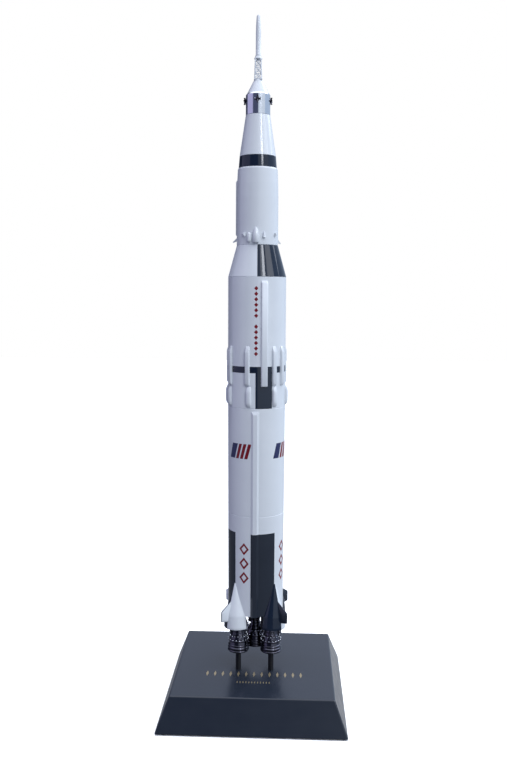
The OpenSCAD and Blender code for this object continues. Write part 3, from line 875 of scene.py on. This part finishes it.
def buildThrusters(name, angle):
    # four small nozzles in a cross on a base plate
    z = topOf("service_module") - thruster["below"]
    wide, tall = thruster["wide"] / 2, thruster["tall"] / 2
    outline = roundedOutline([(sx * wide, sz * tall, thruster["cornerR"]) for sx, sz in squareCorners], 3)
    shapes = [lofted([[(a * share, -out, b * share) for a, b in outline] for out, share in thruster["layers"]])]
    nozzle = turned(thruster["outside"] + thruster["inside"], 24)
    for turn in (0, 90, 180, 270):
        swing = Matrix.Translation((0, -thruster["stand"], 0)) @ Matrix.Rotation(math.radians(turn), 4, "Y")
        shapes.append(moved(nozzle, swing))
    place = Matrix.Translation(onRocket(angle, serviceR, 0, z)) @ Matrix.Rotation(math.radians(angle), 4, "Z")
    addPiece(name + "_thrusters", moved(joined(shapes), place), "payload", "engine_chrome", darkChrome,
             [name + "_thruster_quad"], 40)


for name, angle in (("front", 0), ("right", 90), ("rear", 180), ("left", 270)):
    buildThrusters(name, angle)

tower = {"footHalf": 3.4, "headHalf": 2.8, "leg": 0.46, "ring": 0.34, "brace": 0.3, "bays": 3}


def towerJoint(k, level):
    # where the bars meet at one of the four legs, so many bays up
    share = level / tower["bays"]
    half = tower["footHalf"] + (tower["headHalf"] - tower["footHalf"]) * share - tower["leg"]
    rise = tower["ring"] + (towerTop - coverTop - 2 * tower["ring"]) * share
    sx, sy = squareCorners[k % 4]
    return (sx * half, sy * half, coverTop + rise)


def buildTower():
    # square lattice of round bars: four legs, rings between the bays and crossed braces
    lift = Vector((0, 0, tower["ring"]))
    bars = []
    for k in range(4):
        foot, head = Vector(towerJoint(k, 0)), Vector(towerJoint(k, tower["bays"]))
        bars.append(barAlong([foot - lift, head + lift], tower["leg"], 14))
        for level in range(tower["bays"] + 1):
            bars.append(barAlong([towerJoint(k, level), towerJoint(k + 1, level)], tower["ring"]))
        for level in range(tower["bays"]):
            bars.append(barAlong([towerJoint(k, level), towerJoint(k + 1, level + 1)], tower["brace"]))
            bars.append(barAlong([towerJoint(k + 1, level), towerJoint(k, level + 1)], tower["brace"]))
    addPiece("tower_lattice", joined(bars), "escape_tower", "white_lacquer", whitePaint, ["tower_frame"], 40)


motor = {
    "radius": 2.15, "bandRise": 0.12, "taper": [(2.15, 16), (2.08, 12), (1.96, 8), (1.8, 5), (1.6, 2.6)],
    "noseR": 1.52, "noseTall": 1.8, "noseSteps": 6,
    "skirt": [(0, 0), (3.3, 0), (3.5, 0.15), (3.45, 0.4), (3.2, 1.0), (2.75, 1.7), (2.6, 2.1)], "neckR": 2.6,
    "nozzleR": [0.3, 0.42, 0.5], "nozzleHead": (2.3, -0.5), "nozzleTail": (2.95, 0.35),
}


def buildMotor():
    low, foot, top = bottomOf("motor_skirt"), topOf("motor_skirt"), topOf("escape_motor")
    lacquered = ("escape_tower", "white_lacquer", whitePaint)
    radius, band = motor["radius"], motor["radius"] + motor["bandRise"]
    outline = [(0, foot), (radius, foot), (radius, foot + 0.1)]
    outline += [(band, foot + 0.4), (band, foot + 0.9), (radius, foot + 1.2)]
    outline += [(reach, top - down) for reach, down in motor["taper"]]
    for k in range(motor["noseSteps"]):
        turn = math.pi / 2 * k / motor["noseSteps"]
        outline.append((motor["noseR"] * math.cos(turn), top - motor["noseTall"] * (1 - math.sin(turn))))
    outline.append((0, top))
    addPiece("escape_motor_case", turned(outline, 48), *lacquered, ["escape_motor"], 40)
    neck, edge = motor["neckR"], 0.15
    skirt = [(reach, low + z) for reach, z in motor["skirt"]]
    skirt += [(neck, foot - edge), (neck - edge, foot), (0, foot)]
    shapes = [turned(skirt, 48)]
    for k in range(4):     # small canted nozzles round the skirt
        turn = math.radians(45 + 90 * k)
        ends = []
        for (reach, z), level in ((motor["nozzleHead"], foot), (motor["nozzleTail"], low)):
            ends.append(Vector((reach * math.cos(turn), reach * math.sin(turn), level + z)))
        head, tail = ends
        shapes.append(barAlong([head, (head + tail) / 2, tail], motor["nozzleR"], 14))
    addPiece("motor_skirt_shell", joined(shapes), *lacquered, ["motor_skirt"], 40)


buildTower()
buildMotor()
print("payload and tower built")


ink = {"proud": 0.035, "sunk": 0.15}     # how far the print stands over the skin and is sunk in it


def wrapped(angle, across, z, skin, rise):
    # point on the skin this far across from an angle, measured along the surface
    radius = skin(z)
    return onRocket(angle + math.degrees(across / radius), radius + rise, 0, z)


def lozengeRing(angle, z, wide, tall, stroke, skin):
    # open diamond printed on the skin
    steps, inner = 10, 1 - stroke * 2 / wide
    tips = [(wide / 2, 0), (0, tall / 2), (-wide / 2, 0), (0, -tall / 2)]
    stroked = ((1, -ink["sunk"]), (1, ink["proud"]), (inner, ink["proud"]), (inner, -ink["sunk"]))
    sections = []
    for k in range(4):
        (fromX, fromZ), (toX, toZ) = tips[k], tips[(k + 1) % 4]
        for n in range(steps):
            x, up = fromX + (toX - fromX) * n / steps, fromZ + (toZ - fromZ) * n / steps
            sections.append([wrapped(angle, x * share, z + up * share, skin, rise) for share, rise in stroked])
    points, faces = lofted(sections + [sections[0]])
    return points, faces[:-2]


def printedPatch(angle, skin, rows):
    # solid patch; rows give height, left edge and right edge along the skin
    columns, sections = 14, []
    for z, left, right in rows:
        edge = [left + (right - left) * k / columns for k in range(columns + 1)]
        over = [wrapped(angle, x, z, skin, ink["proud"]) for x in edge]
        under = [wrapped(angle, x, z, skin, -ink["sunk"]) for x in reversed(edge)]
        sections.append(over + under)
    return lofted(sections)


def lozenge(angle, z, wide, tall, skin):
    # solid diamond printed on the skin, its tips blunted by a hair
    rows = []
    for k in range(9):
        share = k / 4 - 1
        half = max(wide / 2 * (1 - abs(share)), 0.02)
        rows.append((z + share * tall / 2, -half, half))
    return printedPatch(angle, skin, rows)


bigLozenges = {
    "angles": [-22.3, 67.5, 157.5, -112.5], "wide": 9.0, "tall": 10.8, "stroke": 2.0,
    "top": 141.2, "pitch": 12.8, "count": 3,
}
smallLozenges = {
    "angles": [0.8, 180.8], "wide": 3.5, "tall": 3.9, "top": 366.6, "pitch": 4.6, "places": 13, "gap": 6,
}
banner = {
    "left": [-59.7, 38.0, 120.3, -142.0], "foot": 220.7, "top": 233.7,
    "slant": 3.6, "blockWide": 6.4, "bars": 3, "barWide": 2.9, "barGap": 1.4,
}


def slantedBar(angle, start, wide):
    # leaning bar on the booster, in enough rows to follow the skin
    rows, steps = [], 8
    for k in range(steps + 1):
        left = start + banner["slant"] * k / steps
        rows.append((banner["foot"] + (banner["top"] - banner["foot"]) * k / steps, left, left + wide))
    return printedPatch(angle, boosterSkin, rows)


def buildMarks():
    big, small = [], []
    for angle in bigLozenges["angles"]:
        for k in range(bigLozenges["count"]):
            z = bigLozenges["top"] - k * bigLozenges["pitch"]
            size = (bigLozenges["wide"], bigLozenges["tall"], bigLozenges["stroke"])
            big.append(lozengeRing(angle, z, *size, boosterSkin))
    addPiece("booster_red_marks", joined(big), "first_stage", "white_lacquer", redInk, (), 40)
    for angle in smallLozenges["angles"]:
        for k in range(smallLozenges["places"]):
            if k != smallLozenges["gap"]:     # one place stays empty between the two groups
                z = smallLozenges["top"] - k * smallLozenges["pitch"]
                small.append(lozenge(angle, z, smallLozenges["wide"], smallLozenges["tall"], secondSkin))
    addPiece("second_stage_red_marks", joined(small), "second_stage", "white_lacquer", redInk, (), 40)
    blocks, bars = [], []
    for left in banner["left"]:
        blocks.append(slantedBar(left, 0, banner["blockWide"]))
        for k in range(banner["bars"]):
            start = banner["blockWide"] + banner["barGap"] + k * (banner["barWide"] + banner["barGap"])
            bars.append(slantedBar(left, start, banner["barWide"]))
    addPiece("banner_blue_blocks", joined(blocks), "first_stage", "white_lacquer", blueInk, (), 40)
    addPiece("banner_red_bars", joined(bars), "first_stage", "white_lacquer", redInk, (), 40)


buildMarks()
print("marks printed")


cameraFacts = {
    "lens": 39.58, "sensor": 36.0, "place": (0.03042, -0.72951, 0.35950),
    "heading": 92.605, "dip": 5.691, "roll": 0.273,
}


def buildCamera():
    data = bpy.data.cameras.new("camera")
    data.lens = cameraFacts["lens"]
    data.sensor_width = cameraFacts["sensor"]
    camera = bpy.data.objects.new("camera", data)
    bpy.context.scene.collection.objects.link(camera)
    heading, dip, roll = (math.radians(cameraFacts[k]) for k in ("heading", "dip", "roll"))
    forward = Vector((math.cos(heading) * math.cos(dip), math.sin(heading) * math.cos(dip), -math.sin(dip)))
    right = forward.cross(Vector((0, 0, 1))).normalized()
    up = right.cross(forward)
    right, up = right * math.cos(roll) + up * math.sin(roll), up * math.cos(roll) - right * math.sin(roll)
    camera.matrix_world = Matrix((
        (right.x, up.x, -forward.x, cameraFacts["place"][0]),
        (right.y, up.y, -forward.y, cameraFacts["place"][1]),
        (right.z, up.z, -forward.z, cameraFacts["place"][2]),
        (0, 0, 0, 1),
    ))
    bpy.context.scene.camera = camera


studio = {
    "cameraSide": 2.4,     # the angle round the rocket that the camera stands at
    "walls": [(-180, "#bcc5d9"), (-166, "#b4bdd2"), (-156, "#3c4054"), (-118, "#3c4054"), (-112, "#b3b1d6"),
              (-53, "#b3b1d6"), (-46, "#4a5068"), (0, "#4a5068"), (6, "#d5dfea"), (64, "#d5dfea"),
              (72, "#b2c4db"), (158, "#b2c4db"), (168, "#ccd5e8"), (180, "#bcc5d9")],
    "ceiling": ("#e9eef8", 1.9), "ceilingFrom": (0.6, 0.9), "tableFrom": (-0.12, -0.3),
    "table": [(-180, "#a0a5b0"), (-140, "#6a6f7a"), (90, "#6a6f7a"), (125, "#bcc2cd"), (170, "#d0d4dc"),
              (180, "#a0a5b0")],
    "floorColour": ("#f2f3f5", "#f7f8fa"), "floorSize": 8.0, "floorDrop": 0.05, "floorSun": 2.2,
}
lamps = [
    # name, angle from the camera side, elevation, distance, width, height, radiance, colour
    ("windowMain", 29, 32, 2.6, 0.46, 1.05, 11.0, "#f2f6ff"),
    ("windowNear", 18, 32, 2.6, 0.16, 0.9, 3.0, "#f2f6ff"),
    ("windowWide", 60, 38, 2.6, 1.25, 1.5, 2.1, "#f3f6fc"),
    ("softFill", 122, 40, 2.6, 2.0, 1.6, 2.7, "#e6eefc"),
]


def buildWorld():
    world = bpy.data.worlds.new("softStudio")
    bpy.context.scene.world = world
    world.use_nodes = True
    tree = world.node_tree
    tree.nodes.clear()
    # the room's colour depends on the direction round the rocket and on the height looked at
    coords = addNode(tree, "ShaderNodeTexCoord").outputs["Generated"]
    axes = addNode(tree, "ShaderNodeSeparateXYZ", {0: coords}).outputs
    front = addNode(tree, "ShaderNodeMath", {0: axes["Y"], 1: -1.0}, operation="MULTIPLY").outputs[0]
    turn = addNode(tree, "ShaderNodeMath", {0: axes["X"], 1: front}, operation="ARCTAN2").outputs[0]
    fullTurn = {0: turn, 1: 1 / (2 * math.pi), 2: 0.5 - studio["cameraSide"] / 360}
    share = addNode(tree, "ShaderNodeMath", fullTurn, operation="MULTIPLY_ADD").outputs[0]
    around = addNode(tree, "ShaderNodeMath", {0: share}, operation="FRACT").outputs[0]
    bands = {}
    for name in ("walls", "table"):
        ramp = addNode(tree, "ShaderNodeValToRGB", {"Fac": around})
        bands[name] = ramp.outputs["Color"]
        elements = ramp.color_ramp.elements
        for k, (angle, colour) in enumerate(studio[name]):
            element = elements[k] if k < len(elements) else elements.new(1.0)
            element.position = angle / 360 + 0.5
            element.color = linear(colour)
    blends = []
    for start, end in (studio["ceilingFrom"], studio["tableFrom"]):
        sockets = {"Value": axes["Z"], "From Min": start, "From Max": end}
        blends.append(addNode(tree, "ShaderNodeMapRange", sockets).outputs[0])
    high, low = blends
    room = blendColours(tree, high, bands["walls"], studio["ceiling"][0])
    room = blendColours(tree, low, room, bands["table"])
    sockets = {"Value": high, "To Min": 1.0, "To Max": studio["ceiling"][1]}
    lift = addNode(tree, "ShaderNodeMapRange", sockets).outputs[0]
    light = addNode(tree, "ShaderNodeBackground", {"Color": room, "Strength": lift}).outputs[0]
    paper = addNode(tree, "ShaderNodeBackground", {"Color": (1, 1, 1, 1), "Strength": 1.0}).outputs[0]
    seen = addNode(tree, "ShaderNodeLightPath").outputs["Is Camera Ray"]
    mixed = addNode(tree, "ShaderNodeMixShader", {0: seen, 1: light, 2: paper}).outputs[0]
    addNode(tree, "ShaderNodeOutputWorld", {"Surface": mixed})


def buildLamps():
    middle = Vector((0, 0, 0.33))
    for name, angle, elevation, distance, width, height, radiance, colour in lamps:
        data = bpy.data.lights.new(name, "AREA")
        data.shape = "RECTANGLE"
        data.size, data.size_y = width, height
        data.energy = radiance * math.pi * width * height
        data.color = linear(colour)[:3]
        lamp = bpy.data.objects.new(name, data)
        bpy.context.scene.collection.objects.link(lamp)
        turn, lift = math.radians(angle + studio["cameraSide"]), math.radians(elevation)
        away = Vector((math.sin(turn) * math.cos(lift), -math.cos(turn) * math.cos(lift), math.sin(lift)))
        lamp.location = middle + away * distance
        lamp.rotation_euler = away.to_track_quat("Z", "Y").to_euler()


def buildFloor():
    half, level = studio["floorSize"] / 2, -studio["floorDrop"] * mm
    mesh = bpy.data.meshes.new("paper_floor")
    mesh.from_pydata([(sx * half, sy * half, level) for sx, sy in squareCorners], [], [(0, 1, 2, 3)])
    floor = bpy.data.objects.new("paper_floor", mesh)
    bpy.context.scene.collection.objects.link(floor)
    material, tree, shader = newMaterial("mattPaper", Roughness=0.9)
    tree.links.new(blendColours(tree, grain(tree, 60, 3), *studio["floorColour"]), shader.inputs["Base Color"])
    mesh.materials.append(material)
    floor.visible_diffuse = False       # the room's own lower half lights the model instead
    floor.visible_glossy = False
    sunData = bpy.data.lights.new("floorSun", "SUN")
    sunData.energy = studio["floorSun"]
    sunData.angle = math.radians(20)
    sun = bpy.data.objects.new("floorSun", sunData)
    bpy.context.scene.collection.objects.link(sun)
    only = bpy.data.collections.new("floorOnly")
    only.objects.link(floor)
    sun.light_linking.receiver_collection = only


buildCamera()
buildWorld()
buildLamps()
buildFloor()
bpy.context.scene.view_settings.view_transform = "Standard"
bpy.context.scene.view_settings.look = "None"
print("studio built")
